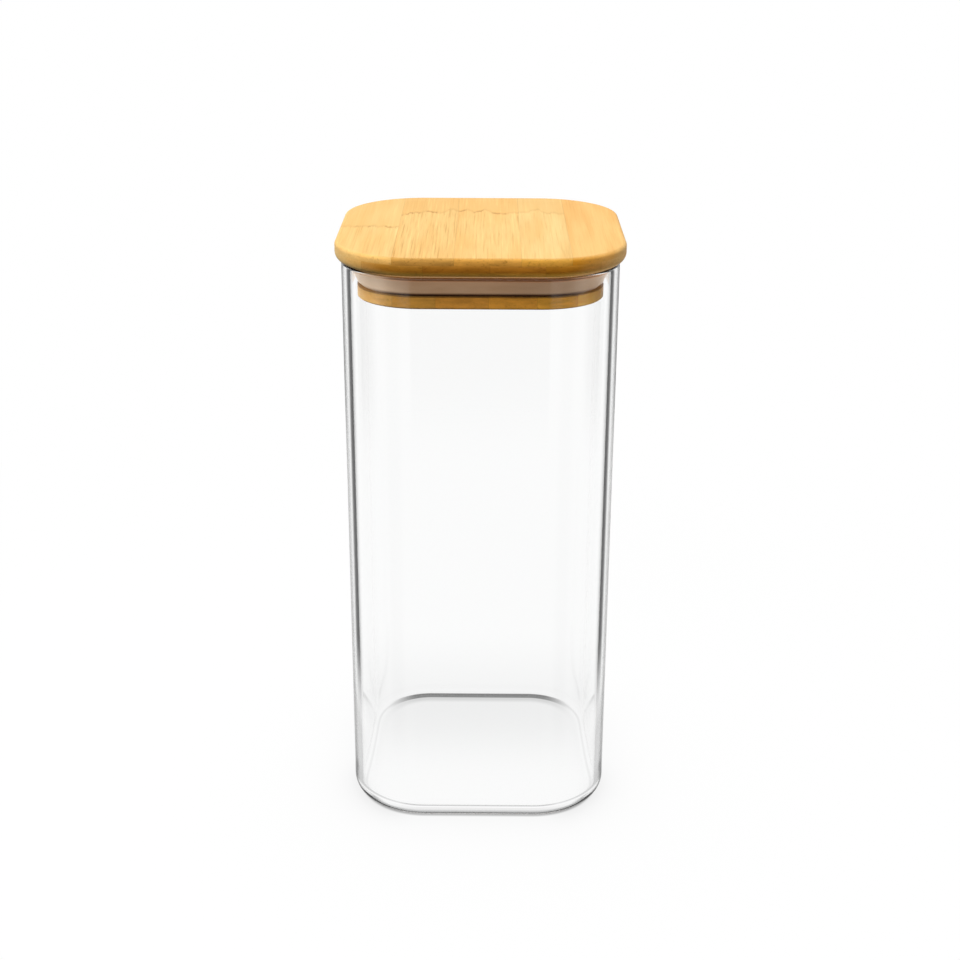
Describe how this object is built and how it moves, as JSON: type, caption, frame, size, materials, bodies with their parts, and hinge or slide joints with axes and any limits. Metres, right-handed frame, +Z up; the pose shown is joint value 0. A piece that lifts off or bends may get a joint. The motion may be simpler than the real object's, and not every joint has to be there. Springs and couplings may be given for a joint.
{
  "type": "storage jar",
  "caption": "Tall square glass jar with rounded corners for dry food, closed by a lift-off laminated bamboo lid with a grooved plug and a soft seal.",
  "frame": {"origin": "middle of the jar's footprint, at the height of the surface that it stands on", "axes": "+Z up along the jar's middle line, -Y towards the front of the picture, +X to its right, with the bamboo's grain along Y"},
  "size_m": [0.1042, 0.1042, 0.2243],
  "materials": {
    "glass": "clear, polished, with a fire-polished rim",
    "silicone": "milky, half clear, satin",
    "bamboo": "sanded and oiled, satin, grain from front to back"
  },
  "bodies": {
    "jar": {"glass_body": "glass"},
    "lid": {"silicone_seal": "silicone", "top_lath_1": "bamboo", "top_lath_2": "bamboo", "top_lath_3": "bamboo", "top_lath_4": "bamboo", "top_lath_5": "bamboo", "under_lath_1": "bamboo", "under_lath_2": "bamboo", "under_lath_3": "bamboo", "under_lath_4": "bamboo", "under_lath_5": "bamboo", "under_lath_6": "bamboo", "plug_lath_1": "bamboo", "plug_lath_2": "bamboo", "plug_lath_3": "bamboo", "plug_lath_4": "bamboo", "plug_lath_5": "bamboo", "plug_lath_6": "bamboo"}
  },
  "joints": [
    {"name": "lid_lift", "type": "slide", "parent": "jar", "child": "lid", "axis": [0, 0, 1], "range_m": [0, 0.12]}
  ]
}
